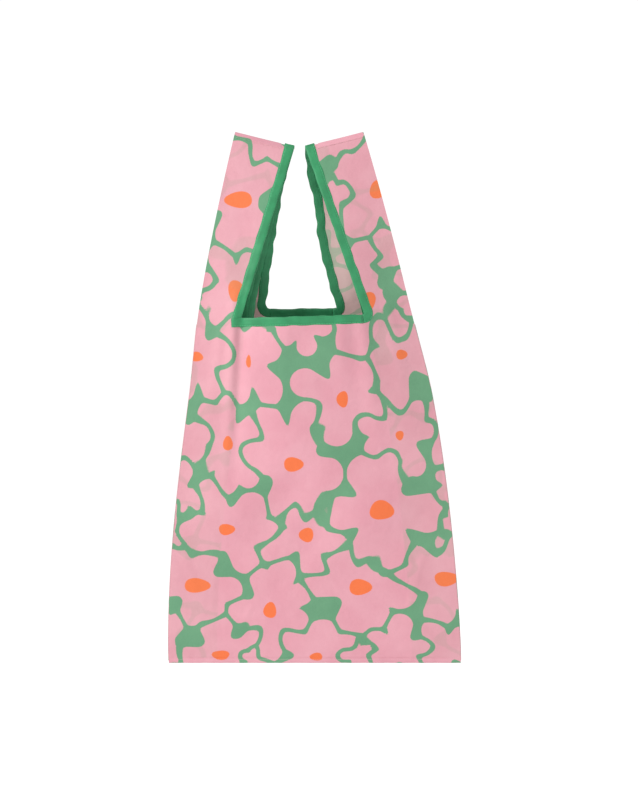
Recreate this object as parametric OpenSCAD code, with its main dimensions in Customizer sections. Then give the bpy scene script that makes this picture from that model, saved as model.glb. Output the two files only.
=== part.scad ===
// Foldable tote bag of thin woven cloth, hanging by its two handles with the mouth a little open.
// The origin is the point between the two handles where the bar, hook or hand that holds the bag
// passes through both loops. +Z is up and the front of the bag faces -Y. Millimetres.

/* [Body] */
// Width along the bottom seam
bottom_w = 361; // [300:1:440]
// Height from the bottom edge to the front of the mouth
body_h = 429; // [340:1:520]
// How the sides draw in towards the handles: 1 is straight, more is fuller
side_taper = 1.72; // [1.2:0.01:2.2]
// How far the bottom hangs to the right of the handles
lean = 18; // [0:1:30]
// Height of the cross fold above the bottom edge
fold_h = 214; // [160:1:250]
// Depth of each folded side gusset
gusset_fold = 60; // [46:1:80]
// Height of the sewn bottom seam
seam_h = 6; // [4:0.5:10]

/* [Mouth] */
// How far the front of the mouth bows forward
front_bow = 42; // [32:1:55]
// How far the back of the mouth bows back
back_bow = 36; // [30:1:50]
// From the middle plane to each side edge at the mouth
side_gap = 12; // [9:0.5:16]
// From the middle plane to each side edge at the bottom
bottom_gap = 3; // [2.6:0.1:5]
// Width of the front of the mouth between the handles
front_mouth_w = 150; // [110:1:170]
// Width of the back of the mouth between the handles
back_mouth_w = 92; // [80:1:130]
// How far the front of the mouth lies to the left of the bag's middle
front_mouth_shift = 2; // [0:0.5:5]
// How far the back of the mouth lies to the left of the bag's middle
back_mouth_shift = 4; // [0:0.5:6]

/* [Handles] */
// Width of each handle at its top
strap_w = 74; // [50:1:90]
// Gap between the two handles at the top
strap_gap = 13; // [6:1:30]
// Height of the handles from the mouth to their inner top corner
handle_h = 206; // [160:1:260]
// Rise of the top from its inner corner to its outer corner
strap_slope = 17; // [0:1:30]
// Height of the inner top corner above the bar that holds the bag
hang_drop = 5; // [2:1:12]
// Half the thickness of a handle at its outer edge, at the top
top_gap = 5; // [4:0.5:8]
// Half the thickness of a handle at its inner edge, at the top
top_bow = 6; // [4:0.5:10]
// How far a lining stands off its strap at the inner edge
lining_gap = 8; // [3:0.5:12]
// How early the back edge of the left handle turns out: 1 is straight
back_curl_left = 0.75; // [0.6:0.05:2]
// How early the back edge of the right handle turns out
back_curl_right = 1.2; // [0.6:0.05:2]

/* [Cloth and tape] */
// Thickness that a layer of cloth takes up
cloth_t = 1; // [0.6:0.1:1.4]
// Width of the binding tape
binding_w = 10.5; // [8:0.5:14]
// Thickness of the folded binding tape
binding_t = 2; // [1.5:0.1:2.4]
// Space between neighbouring pieces
clear = 0.3; // [0.2:0.05:0.4]

/* [Stow pouch] */
// Width of the pouch
pouch_w = 104; // [80:1:112]
// Height of the pouch
pouch_h = 100; // [80:1:110]
// Open space inside the pouch
pouch_room = 5.5; // [4.5:0.5:6.5]
// How far the back of the pouch hangs behind the middle plane
pouch_back_y = 12.5; // [11:0.5:13.5]
// How far the top of the pouch hangs below the mouth
pouch_drop = 40; // [34:1:50]
// Width of the tab that the pouch hangs on
tab_w = 16; // [10:1:24]
// Length of the pouch flap
flap_len = 36; // [30:1:44]
// Space that the closed snap leaves between flap and pouch
snap_room = 2; // [1.6:0.1:2.6]
// Radius of the snap's cap
cap_r = 7; // [5:0.5:9]
// Radius of the snap's post
post_r = 1.8; // [1.4:0.1:2.2]
// Space round the snap's post in its socket
post_clear = 0.5; // [0.4:0.1:0.8]

/* [Hidden] */

front = -1;
back = 1;
left = -1;
right = 1;

print_pink = [0.93, 0.65, 0.72];
lining_pink = [0.90, 0.76, 0.74];
binding_green = [0.20, 0.62, 0.40];
snap_white = [0.93, 0.92, 0.90];

rim_z = hang_drop - handle_h;
bottom_z = rim_z - body_h;
split_z = rim_z - binding_w;
fold_z = bottom_z + fold_h;
top_half_w = strap_gap / 2 + strap_w;
mean_top_z = hang_drop + strap_slope / 2;
mouth_power = 1.3;
loop_power = 0.75;
opening_share = 0.25;
opening_power = 1.8;
gap_power = 1.5;
lining_closing = 0.8;
lining_power = 1.15;
corner_gap = 1.5;
handle_seam_h = 5;
handle_seam_half = 2;
fold_tip = 3;
fold_tip_half = 1.6;
gusset_binding_h = 12;
gusset_binding_half = 2.6;
panel_cols = 12;
strap_cols = 4;
leaf_cols = 4;
body_rows = 6;
strap_rows = 10;

// ---- the surfaces that every piece lies on ----

function clamp01(a) = max(0, min(1, a));
function mix(a, b, k) = a + (b - a) * k;

// Middle of the bag and half its width, at height z
function mid_x(z) = lean * z / bottom_z;
function up_share(z) = max(0, (z - bottom_z) / (mean_top_z - bottom_z));
function half_w(z) = mix(bottom_w / 2, top_half_w, pow(up_share(z), side_taper));

// Height on the body and height on the handles, each from 0 to 1
function body_share(z) = clamp01((z - bottom_z) / body_h);
function loop_share(z) = clamp01((z - rim_z) / handle_h);

// From the middle plane to the side edge and to the crest of the bow, at height z
function opening(u) = opening_share * sin(90 * u) + (1 - opening_share) * pow(u, opening_power);
function edge_y(z) =
  z < rim_z
    ? mix(bottom_gap, side_gap, pow(body_share(z), gap_power))
    : mix(side_gap, top_gap, loop_share(z));
function bow_of(face) = face == front ? front_bow : back_bow;
function crest_y(face, z) =
  z < rim_z
    ? bow_of(face) * opening(body_share(z))
    : mix(bow_of(face), top_bow, pow(loop_share(z), loop_power));
function round_in(a) = pow(cos(90 * min(abs(a), 1)), mouth_power);
function depth(face, x, z) =
  edge_y(z) + max(crest_y(face, z) - edge_y(z), 0) * round_in((x - mid_x(z)) / half_w(z));

// Inner edges of the handles, measured from the middle of the bag
function curl(side) = side == left ? back_curl_left : back_curl_right;
function mouth_edge(side, face) =
  face == front ? front_mouth_w / 2 - side * front_mouth_shift : back_mouth_w / 2 - side * back_mouth_shift;
function strap_edge(side, face, z) =
  face == front
    ? mix(mouth_edge(side, face), strap_gap / 2, loop_share(z))
    : mix(strap_gap / 2, mouth_edge(side, face), pow(1 - loop_share(z), curl(side)));
function lining_edge(z) =
  mix(half_w(rim_z) - gusset_fold, strap_gap / 2, pow(loop_share(z), lining_power));
function lining_in(k, z) =
  cloth_t + clear + k * lining_gap * (1 - lining_closing * loop_share(z));

// ---- one closed thin solid from two grids of points, the front grid at the lower y ----

function flat(rows) = [for (row = rows) for (p = row) p];
function turned(rows) = [for (row = rows) [for (i = [len(row) - 1:-1:0]) row[i]]];

module sheet(front_grid, back_grid) {
  rows = len(front_grid);
  cols = len(front_grid[0]);
  count = rows * cols;
  function f(r, c) = r * cols + c;
  function b(r, c) = count + r * cols + c;
  walls = [
    for (r = [0:rows - 2]) for (c = [0:cols - 2]) each [
      [f(r, c), f(r + 1, c), f(r + 1, c + 1)],
      [f(r, c), f(r + 1, c + 1), f(r, c + 1)],
      [b(r, c), b(r + 1, c + 1), b(r + 1, c)],
      [b(r, c), b(r, c + 1), b(r + 1, c + 1)]
    ]
  ];
  ends = [
    for (c = [0:cols - 2]) each [
      [f(0, c), f(0, c + 1), b(0, c + 1)],
      [f(0, c), b(0, c + 1), b(0, c)],
      [f(rows - 1, c + 1), f(rows - 1, c), b(rows - 1, c)],
      [f(rows - 1, c + 1), b(rows - 1, c), b(rows - 1, c + 1)]
    ]
  ];
  sides = [
    for (r = [0:rows - 2]) each [
      [f(r + 1, 0), f(r, 0), b(r, 0)],
      [f(r + 1, 0), b(r, 0), b(r + 1, 0)],
      [f(r, cols - 1), f(r + 1, cols - 1), b(r + 1, cols - 1)],
      [f(r, cols - 1), b(r + 1, cols - 1), b(r, cols - 1)]
    ]
  ];
  polyhedron(points = concat(flat(front_grid), flat(back_grid)), faces = concat(walls, ends, sides));
}

function shifted(rows, y) = [for (row = rows) [for (p = row) p + [0, y, 0]]];

// A layer t thick on a grid whose rows run left to right
module layer(grid, t) {
  sheet(shifted(grid, -t / 2), shifted(grid, t / 2));
}

// ---- body ----

function panel_point(face, a, z) =
  let (x = mid_x(z) + a * half_w(z)) [x, face * depth(face, x, z), z];

module panel(face, z0, z1) {
  layer([
    for (r = [0:body_rows]) let (z = mix(z0, z1, r / body_rows)) [
      for (c = [0:panel_cols]) panel_point(face, 2 * c / panel_cols - 1, z)
    ]
  ], cloth_t);
}

module panel_upper(face) {
  color(print_pink)
    panel(face, fold_z + clear, split_z - clear);
}

module panel_lower(face) {
  color(print_pink)
    panel(face, bottom_z + seam_h + clear, fold_z - clear);
}

// A gusset is a leaf behind the front panel and a leaf before the back panel, with a fold between.
// The path runs from the front side edge to the fold and back to the rear side edge.
function leaf_path(z, side, inset) =
  let (
    w = half_w(z),
    near = edge_y(z) - cloth_t / 2 - clear - inset,
    tip = fold_tip_half - inset,
    reach = gusset_fold - fold_tip,
    leaf = [
      for (i = [0:leaf_cols]) let (k = i / leaf_cols) [w - k * reach, mix(near, tip, k)]
    ]
  ) concat(
    [for (p = leaf) [mid_x(z) + side * p[0], -p[1], z]],
    [[mid_x(z) + side * (w - gusset_fold + inset), 0, z]],
    [for (i = [leaf_cols:-1:0]) [mid_x(z) + side * leaf[i][0], leaf[i][1], z]]
  );

module gusset(side, z0, z1) {
  heights = [for (r = [0:body_rows]) mix(z0, z1, r / body_rows)];
  outer = [for (z = heights) leaf_path(z, side, 0)];
  inner = [for (z = heights) leaf_path(z, side, cloth_t)];
  color(print_pink)
    sheet(side == left ? outer : turned(outer), side == left ? inner : turned(inner));
}

module gusset_upper(side) {
  gusset(side, fold_z + clear, split_z - clear);
}

module gusset_lower(side) {
  gusset(side, bottom_z + seam_h + clear, fold_z - clear);
}

// The seam closes all the layers along the bottom
module bottom_seam() {
  reach = bottom_gap + cloth_t / 2;
  heights = [bottom_z, bottom_z + seam_h / 2, bottom_z + seam_h];
  rows = [
    for (z = heights) [
      for (c = [0:panel_cols]) [mid_x(z) + (2 * c / panel_cols - 1) * half_w(z), 0, z]
    ]
  ];
  color(print_pink)
    sheet(shifted(rows, -reach), shifted(rows, reach));
}

// ---- binding round the mouth ----

module rim_binding(face) {
  from = corner_gap - mouth_edge(left, face);
  to = mouth_edge(right, face) - corner_gap;
  rows = [
    for (z = [split_z, rim_z]) [
      for (c = [0:panel_cols])
        let (x = mid_x(z) + mix(from, to, c / panel_cols)) [x, face * depth(face, x, z), z]
    ]
  ];
  color(binding_green)
    layer(rows, binding_t);
}

// The tape wraps the ridge of the gusset's fold just below the mouth
module gusset_binding(side) {
  top = split_z - clear;
  rows = [
    for (z = [top - gusset_binding_h, top]) let (
      x = mid_x(z) + side * (half_w(z) - gusset_fold - clear),
      tape = x - side * binding_t
    ) [[min(x, tape), 0, z], [max(x, tape), 0, z]]
  ];
  color(binding_green)
    sheet(shifted(rows, -gusset_binding_half), shifted(rows, gusset_binding_half));
}

// ---- handles ----

// Top of a handle where k runs from 0 at its outer edge to 1 at its inner edge
function top_z(k) = mix(hang_drop + strap_slope, hang_drop, k);
tape_share = 1 - binding_w / strap_w;

// The first row lies at the split line, the second at the mouth, the rest evenly above
function strap_height(k, r) =
  r == 0
    ? split_z + clear
    : mix(rim_z, top_z(k) - handle_seam_h - clear, (r - 1) / (strap_rows - 1));

// A grid from the outer edge to the tape, or over the tape, of a strap or of its lining
function strap_grid(side, face, cols, lined, taped) = [
  for (r = [0:strap_rows]) [
    for (i = [0:cols]) let (
      a = i / cols,
      k = taped ? mix(tape_share, 1, a) : a * tape_share,
      z = strap_height(k, r),
      free = lined ? lining_edge(z) : strap_edge(side, face, z),
      x_mid = taped
        ? mix(free + binding_w, free, a)
        : mix(half_w(z) - (lined ? clear : 0), free + binding_w + clear, a),
      x = mid_x(z) + side * x_mid,
      y = depth(face, x, z) - (lined ? lining_in(k, z) : 0)
    ) [x, face * y, z]
  ]
];

module strap_part(side, face, cols, lined, taped, t) {
  grid = strap_grid(side, face, cols, lined, taped);
  layer(side == left ? grid : turned(grid), t);
}

module strap(side, face) {
  color(print_pink)
    strap_part(side, face, strap_cols, false, false, cloth_t);
}

module lining(side, face) {
  color(lining_pink)
    strap_part(side, face, strap_cols, true, false, cloth_t);
}

module strap_binding(side, face) {
  color(binding_green)
    strap_part(side, face, 1, false, true, binding_t);
}

module lining_binding(side, face) {
  color(binding_green)
    strap_part(side, face, 1, true, true, binding_t);
}

// The seam that joins a handle's front and back straps along the top
module handle_seam(side) {
  low = [
    for (i = [0:strap_cols]) let (
      k = i / strap_cols,
      z = top_z(k) - handle_seam_h
    ) [mid_x(z) + side * mix(half_w(z), strap_gap / 2, k), 0, z]
  ];
  high = [
    for (i = [0:strap_cols]) let (
      k = i / strap_cols,
      z = top_z(k)
    ) [mid_x(z) + side * mix(half_w(z), strap_gap / 2, k), 0, z]
  ];
  reach = top_bow + binding_t / 2;
  rows = side == left ? [low, high] : turned([low, high]);
  color(print_pink)
    sheet(
      [shifted(rows, -reach)[0], shifted(rows, -handle_seam_half)[1]],
      [shifted(rows, reach)[0], shifted(rows, handle_seam_half)[1]]
    );
}

// ---- stow pouch inside the back of the mouth ----

pouch_top_z = rim_z - pouch_drop;
pouch_x = mid_x(pouch_top_z - pouch_h / 2);
pouch_front_y = pouch_back_y - 2 * cloth_t - pouch_room;
tab_top_z = split_z - 2 * clear;
tab_top_y = depth(back, pouch_x, tab_top_z) - 3 * cloth_t / 2 - 3 * clear;
tab_lap = 16;
snap_z = pouch_top_z - flap_len * 0.72;
flap_y = pouch_front_y - snap_room;
cap_h = 1.2;
stud_base_h = 0.5;
socket_h = 1;
socket_wall = 2.4;

module block(x, y0, y1, z0, z1) {
  translate([pouch_x - x / 2, y0, z0])
    cube([x, y1 - y0, z1 - z0]);
}

// The loop of tape that holds the pouch to the back of the mouth
module pouch_tab() {
  low_y = pouch_back_y + clear;
  color(binding_green) {
    block(tab_w, low_y, low_y + cloth_t, pouch_top_z - tab_lap, pouch_top_z);
    hull() {
      block(tab_w, low_y, low_y + cloth_t, pouch_top_z - cloth_t, pouch_top_z);
      block(tab_w, tab_top_y, tab_top_y + cloth_t, tab_top_z - cloth_t, tab_top_z);
    }
  }
}

module pouch_back() {
  color(lining_pink)
    block(pouch_w, pouch_back_y - cloth_t, pouch_back_y, pouch_top_z - pouch_h, pouch_top_z);
}

// The front wall with its gathered sides and bottom, sewn to the pouch's back
module pouch_front() {
  color(print_pink)
    difference() {
      block(pouch_w, pouch_front_y, pouch_back_y - cloth_t - clear,
        pouch_top_z - pouch_h, pouch_top_z - clear);
      block(pouch_w - 2 * cloth_t, pouch_front_y + cloth_t, pouch_back_y,
        pouch_top_z - pouch_h + cloth_t, pouch_top_z + clear);
    }
}

// The flap folds over the pouch's top edge and down its front
module pouch_flap() {
  color(print_pink) {
    block(pouch_w, flap_y - cloth_t, pouch_back_y, pouch_top_z + clear, pouch_top_z + clear + cloth_t);
    block(pouch_w, flap_y - cloth_t, flap_y, pouch_top_z - flap_len, pouch_top_z + clear);
  }
}

module along_y(y, r, h) {
  translate([pouch_x, y, snap_z])
    rotate([-90, 0, 0])
      cylinder(h = h, r = r, $fn = 48);
}

module snap_stud() {
  base_y = pouch_front_y - clear / 3 - stud_base_h;
  color(snap_white) {
    along_y(base_y, cap_r - 1, stud_base_h);
    along_y(base_y - socket_h + clear, post_r, socket_h);
  }
}

module snap_socket() {
  color(snap_white)
    difference() {
      along_y(flap_y + clear / 3, post_r + post_clear + socket_wall, socket_h);
      along_y(flap_y - cloth_t, post_r + post_clear, socket_h + 3 * cloth_t);
    }
}

module snap_cap() {
  color(snap_white)
    translate([pouch_x, flap_y - cloth_t - clear / 3, snap_z])
      rotate([90, 0, 0])
        rotate_extrude($fn = 48)
          polygon([[0, 0], [cap_r, 0], [cap_r, cap_h * 0.4], [cap_r - 1.5, cap_h], [0, cap_h]]);
}

// ---- what is drawn ----

panel_upper(front);  // front_panel_upper
panel_upper(back);  // back_panel_upper
gusset_upper(left);  // left_gusset_upper
gusset_upper(right);  // right_gusset_upper
rim_binding(front);  // front_rim_binding
rim_binding(back);  // back_rim_binding
gusset_binding(left);  // left_gusset_binding
gusset_binding(right);  // right_gusset_binding
panel_lower(front);  // front_panel_lower
panel_lower(back);  // back_panel_lower
gusset_lower(left);  // left_gusset_lower
gusset_lower(right);  // right_gusset_lower
bottom_seam();
strap(left, front);  // left_front_strap
strap(left, back);  // left_back_strap
lining(left, front);  // left_front_lining
lining(left, back);  // left_back_lining
strap_binding(left, front);  // left_front_strap_binding
strap_binding(left, back);  // left_back_strap_binding
lining_binding(left, front);  // left_front_lining_binding
lining_binding(left, back);  // left_back_lining_binding
handle_seam(left);  // left_handle_seam
strap(right, front);  // right_front_strap
strap(right, back);  // right_back_strap
lining(right, front);  // right_front_lining
lining(right, back);  // right_back_lining
strap_binding(right, front);  // right_front_strap_binding
strap_binding(right, back);  // right_back_strap_binding
lining_binding(right, front);  // right_front_lining_binding
lining_binding(right, back);  // right_back_lining_binding
handle_seam(right);  // right_handle_seam
pouch_tab();
pouch_back();
pouch_front();
snap_stud();
pouch_flap();
snap_socket();
snap_cap();
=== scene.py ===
"""Looks of a foldable tote bag that hangs by its two handles, with its mouth a little open."""

import math

import bpy
import numpy as np
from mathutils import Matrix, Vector


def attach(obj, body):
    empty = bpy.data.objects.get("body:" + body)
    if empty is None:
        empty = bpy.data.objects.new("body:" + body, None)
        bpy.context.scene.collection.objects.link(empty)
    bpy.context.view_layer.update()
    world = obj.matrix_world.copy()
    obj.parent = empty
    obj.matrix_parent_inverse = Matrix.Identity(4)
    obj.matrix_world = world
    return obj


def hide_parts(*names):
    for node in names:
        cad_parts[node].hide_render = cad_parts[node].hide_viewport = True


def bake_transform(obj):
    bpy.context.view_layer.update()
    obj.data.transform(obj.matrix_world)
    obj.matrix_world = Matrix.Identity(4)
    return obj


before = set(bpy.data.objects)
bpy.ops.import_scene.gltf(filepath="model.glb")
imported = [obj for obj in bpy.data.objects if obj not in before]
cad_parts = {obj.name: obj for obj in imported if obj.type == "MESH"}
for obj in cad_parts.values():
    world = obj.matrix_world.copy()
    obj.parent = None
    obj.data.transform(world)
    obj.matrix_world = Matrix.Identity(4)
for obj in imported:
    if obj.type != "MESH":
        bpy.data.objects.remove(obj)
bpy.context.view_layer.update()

# Sizes are in millimetres up to the moment that a mesh is made.
METRE = 0.001
TAU = 2 * math.pi
LEFT, RIGHT = -1, 1
FRONT, BACK = -1, 1

BOTTOM_WIDTH = 361
BODY_HEIGHT = 429
SIDE_TAPER = 1.72
BULGE, BULGE_HEIGHT, BULGE_BELOW, BULGE_ABOVE = 4.8, -300, 190, 75
LEAN = 18
GUSSET = 60
FRONT_BOW, BACK_BOW = 42, 36
SIDE_GAP, BOTTOM_GAP = 12, 3
MOUTH_EDGE = {(FRONT, LEFT): 77, (FRONT, RIGHT): 73, (BACK, LEFT): 50, (BACK, RIGHT): 42}
STRAP_GAP, STRAP_WIDTH = 13, 74
HANDLE_HEIGHT, HANDLE_SLOPE, HANG_DROP = 206, 17, 5
TOP_GAP, TOP_BOW = 5, 6
LINING_GAP, LINING_POWER = 8, 1.15
BACK_CURL = {LEFT: 0.75, RIGHT: 1.7}
# The rear right strap's inner edge swells by this much, at this height and over this reach.
SWELL, SWELL_HEIGHT, SWELL_REACH = 4, -66, 26
# The left rear gusset leaf reaches further in near the mouth.
REAR_SLIP = 8
# The front of the mouth slopes and its rear edge stands higher.
MOUTH_SLOPE, REAR_RISE = 0.03, 8
TAPE_WIDTH, TAPE_HALF = 11.2, 0.95
CORNER_CUT = {(FRONT, LEFT): 0, (FRONT, RIGHT): 9, (BACK, LEFT): 12, (BACK, RIGHT): 14}
CLOTH_HALF = 0.25

RIM = HANG_DROP - HANDLE_HEIGHT
BOTTOM = RIM - BODY_HEIGHT
# The body's cloth ends and the straps' begins this far below the rim, under the mouth's tape.
UNDER_TAPE = 10.5
SPLIT = RIM - UNDER_TAPE
LEVEL = RIM - TAPE_WIDTH / 2
FOLD = BOTTOM + 214
MEAN_TOP = HANG_DROP + HANDLE_SLOPE / 2
HALF_GAP = STRAP_GAP / 2
TOP_HALF = HALF_GAP + STRAP_WIDTH
CLOTH_FOOT = BOTTOM + 3
# Depth of a gusset's leaf at its fold.
TIP = 1.6
# The fact "seam" holds this value on a row of stitches; a cloth without the fact reads 0, far from any row.
SEAM_ROW = 10

SIDE_NAME = {LEFT: "left", RIGHT: "right"}
FACE_NAME = {FRONT: "front", BACK: "back"}


def mix(a, b, share):
    """From a at share 0 to b at share 1."""
    return a + (b - a) * share


def ease(share):
    """A share held between 0 and 1, with a soft start and end."""
    share = np.clip(share, 0, 1)
    return share * share * (3 - 2 * share)


# ---- the surfaces that the cloth lies on ----

def middle(z):
    """Middle of the bag's width; the body leans to the right and bulges that way below the mouth."""
    reach = np.where(z < BULGE_HEIGHT, BULGE_BELOW, BULGE_ABOVE)
    return LEAN * z / BOTTOM + BULGE * np.exp(-((z - BULGE_HEIGHT) / reach) ** 2)


def half_width(z):
    """Half the bag's width, from its bottom to the top of its handles."""
    up = np.maximum(0, (z - BOTTOM) / (MEAN_TOP - BOTTOM))
    return mix(BOTTOM_WIDTH / 2, TOP_HALF, up ** SIDE_TAPER)


def body_share(z):
    """0 at the bag's bottom and 1 at its rim."""
    return np.clip((z - BOTTOM) / BODY_HEIGHT, 0, 1)


def loop_share(z):
    """0 at the rim and 1 at the top of the handles."""
    return np.clip((z - RIM) / HANDLE_HEIGHT, 0, 1)


def edge_depth(z):
    """Depth of the cloth at the side edge."""
    on_body = mix(BOTTOM_GAP, SIDE_GAP, body_share(z) ** 1.5)
    return np.where(z < RIM, on_body, mix(SIDE_GAP, TOP_GAP, loop_share(z)))


def crest_depth(face, z):
    """Depth of the cloth at the middle of its bow."""
    bow = FRONT_BOW if face == FRONT else BACK_BOW
    up = body_share(z)
    opened = 0.25 * np.sin(up * math.pi / 2) + 0.75 * up ** 1.8
    return np.where(z < RIM, bow * opened, mix(bow, TOP_BOW, loop_share(z) ** 0.75))


def handle_top(x, z):
    """Height of a handle's top, which rises outwards."""
    across = (np.abs(x - middle(z)) - HALF_GAP) / STRAP_WIDTH
    return HANG_DROP + HANDLE_SLOPE * np.clip(across, 0, 1)


def strap_edge(side, face, z):
    """Distance of a strap's inner edge from the bag's middle."""
    up = loop_share(z)
    if face == FRONT:
        return mix(MOUTH_EDGE[face, side], HALF_GAP, up)
    curl = mix(HALF_GAP, MOUTH_EDGE[face, side], (1 - up) ** BACK_CURL[side])
    if side == LEFT:
        return curl
    return curl + SWELL * np.exp(-((z - SWELL_HEIGHT) / SWELL_REACH) ** 2)


def leaf_edge(z):
    """Inner edge of a gusset leaf below the mouth and of its lining above."""
    at_mouth = half_width(np.asarray(float(RIM))) - GUSSET
    return np.where(z < RIM, half_width(z) - GUSSET, mix(at_mouth, HALF_GAP, loop_share(z) ** LINING_POWER))


def rear_slip(side, face, z):
    """How much further in the left rear leaf reaches near the mouth."""
    if (side, face) != (LEFT, BACK):
        return 0 * z
    return REAR_SLIP * ease((z - SPLIT + 60) / 60) * (1 - loop_share(z))


def ridge(x, z, start, lean, length, width, height):
    """A soft fold that runs down the cloth from start and fades out."""
    along = (start[1] - z) / length
    across = (x - start[0] - lean * (start[1] - z)) / (width * (1 + 0.9 * np.clip(along, 0, 1)))
    fade = ease((along + 0.12) / 0.2) * (1 - ease(along))
    return height * fade * np.exp(-across ** 2)


def pleat_step(x, z, start, lean, length, width, height):
    """A fold where the cloth steps back from one side to the other."""
    along = (start[1] - z) / length
    across = (x - start[0] - lean * (start[1] - z)) / width
    fade = ease((along + 0.3) / 0.3) * (1 - ease(along))
    return height * fade * across * np.exp(0.5 - 0.5 * across ** 2)


def ripples(face, x, z):
    """Small folds and slack of the cloth, in millimetres off its smooth surface."""
    wide = (x - middle(z)) / half_width(z)
    inside = 1 - np.clip(np.abs(wide), 0, 1) ** 3
    low = ease((z - BOTTOM - 8) / 90)
    slack = 2.4 * np.sin(x / 31 + 0.8 * np.sin(z / 47) + face) * np.cos(z / 71 + 0.5)
    slack += 1.4 * np.sin((0.8 * x + 0.6 * z) / 23 + 1.7 * face + np.sin(z / 60))
    slack += 0.8 * np.sin((x - 0.9 * z) / 15 + 0.9 * np.sin(x / 29)) * np.sin(z / 80 + 1)
    if face == FRONT:
        slack += pleat_step(x, z, (-76, SPLIT), -0.05, 240, 6, -4.2)
        slack += ridge(x, z, (-94, SPLIT), -0.16, 230, 6, 2.6)
        slack += ridge(x, z, (76, SPLIT), 0.14, 220, 8, 2.8)
        slack += ridge(x, z, (50, SPLIT), 0.02, 150, 10, 1.8)
        slack += ridge(x, z, (108, SPLIT + 20), 0.2, 260, 8, 2.2)
        slack += ridge(x, z, (-20, SPLIT), 0.04, 130, 14, 1.5)
        creases = np.exp(-(((z - FOLD) / 2.2) ** 2)) + 0.6 * np.exp(-(((z - FOLD - 105) / 2.2) ** 2))
        slack -= 0.45 * creases * (1 - wide ** 4)
        slack += ridge(x, z, (-150, -470), 0.3, 150, 4, 1.6) + ridge(x, z, (150, -500), -0.25, 120, 4, 1.3)
        slack += ridge(x, z, (-60, -560), -0.5, 90, 4, 1.2) + ridge(x, z, (66, -590), 0.1, 60, 4, 1.2)
        pressed = np.abs(x - middle(z)) - (half_width(z) - GUSSET)
        slack += 0.9 * (1 - ease((z + 560) / 90)) * ease(pressed / 5)
    else:
        slack += ridge(x, z, (-58, SPLIT), -0.12, 200, 9, 1.8)
        slack += ridge(x, z, (60, SPLIT), 0.14, 220, 9, 1.8)
    on_strap = ease((z - RIM) / 40)
    folds = 1.1 * np.sin(x / 9 + z / 90 + 2 * face) * np.sin(z / 60 + 0.8)
    slack = mix(slack * low, 0.35 * slack + folds, on_strap)
    near_top = 1 - ease((z + 25) / 30)
    return slack * inside * near_top


def cloth_depth(face, x, z):
    """Depth of the front or back cloth, body and strap alike."""
    wide = np.clip(np.abs((x - middle(z)) / half_width(z)), 0, 1)
    edge = edge_depth(z)
    crest = crest_depth(face, z)
    round_in = np.maximum(np.cos(wide * math.pi / 2), 0) ** 1.3
    open_depth = edge + np.maximum(crest - edge, 0) * round_in + ripples(face, x, z)
    top = handle_top(x, z)
    closed = mix(1, 0.24, ease((z - top + 6) / 6))
    shut = mix(0.42, 1, ease((z - BOTTOM - 2) / 20))
    return open_depth * closed * shut


def leaf_depth(face, x, z):
    """Depth of a gusset's leaf, which turns into the strap's lining above the mouth."""
    outer, inner = half_width(z), leaf_edge(z)
    share = np.clip((outer - np.abs(x - middle(z))) / (outer - inner), 0, 1)
    folded = mix(edge_depth(z) - 1.3, TIP, share) * mix(0.5, 1, ease((z - BOTTOM - 2) / 20))
    stand_off = 1.3 + share * LINING_GAP * (1 - 0.8 * loop_share(z))
    closed = mix(1, 0.3, ease((z - handle_top(x, z) + 6) / 6))
    opened = cloth_depth(face, x, z) - stand_off * closed
    soft = 0.5 * np.sin(z / 21 + 3 * share + face) * share * (1 - share) * 4
    return mix(folded, opened, ease((z - SPLIT + 4) / 75)) + soft * ease((z - BOTTOM - 10) / 60)


# ---- meshes from grids of points ----

def normals(grid):
    """Unit normal at each point of a grid."""
    step_across = np.gradient(grid, axis=1)
    step_up = np.gradient(grid, axis=0)
    normal = np.cross(step_across, step_up)
    size = np.linalg.norm(normal, axis=2, keepdims=True)
    return normal / np.maximum(size, 1e-9)


def turned_to(grid, towards):
    """The grid with its columns in the order that makes its outer side look that way."""
    looks = normals(grid).mean(axis=(0, 1)) @ np.array(towards, float)
    return grid if looks > 0 else grid[:, ::-1]


def skin_faces(rows, cols):
    """Faces of the two skins of a layer, and those that close it along its borders."""
    near = np.arange(rows * cols).reshape(rows, cols)
    far = near + rows * cols
    a, b, c, d = near[:-1, :-1], near[:-1, 1:], near[1:, 1:], near[1:, :-1]
    e, f, g, h = far[:-1, :-1], far[:-1, 1:], far[1:, 1:], far[1:, :-1]
    skins = [np.stack([a, b, c, d], -1).reshape(-1, 4), np.stack([e, h, g, f], -1).reshape(-1, 4)]
    low = np.stack([near[0, 1:], near[0, :-1], far[0, :-1], far[0, 1:]], -1)
    high = np.stack([near[-1, :-1], near[-1, 1:], far[-1, 1:], far[-1, :-1]], -1)
    first = np.stack([near[:-1, 0], near[1:, 0], far[1:, 0], far[:-1, 0]], -1)
    last = np.stack([near[1:, -1], near[:-1, -1], far[:-1, -1], far[1:, -1]], -1)
    return np.concatenate(skins), np.concatenate([low, high, first, last])


def close_to_borders(values):
    """The values with one more row and column close to each border, which keeps the shading even up to it."""
    for axis in (0, 1):
        last = values.shape[axis] - 1
        first_row, last_row = np.take(values, [0], axis), np.take(values, [last], axis)
        near_first = mix(first_row, np.take(values, [1], axis), 0.05)
        near_last = mix(last_row, np.take(values, [last - 1], axis), 0.05)
        inner = np.take(values, np.arange(1, last), axis)
        values = np.concatenate([first_row, near_first, inner, near_last, last_row], axis)
    return values


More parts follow.
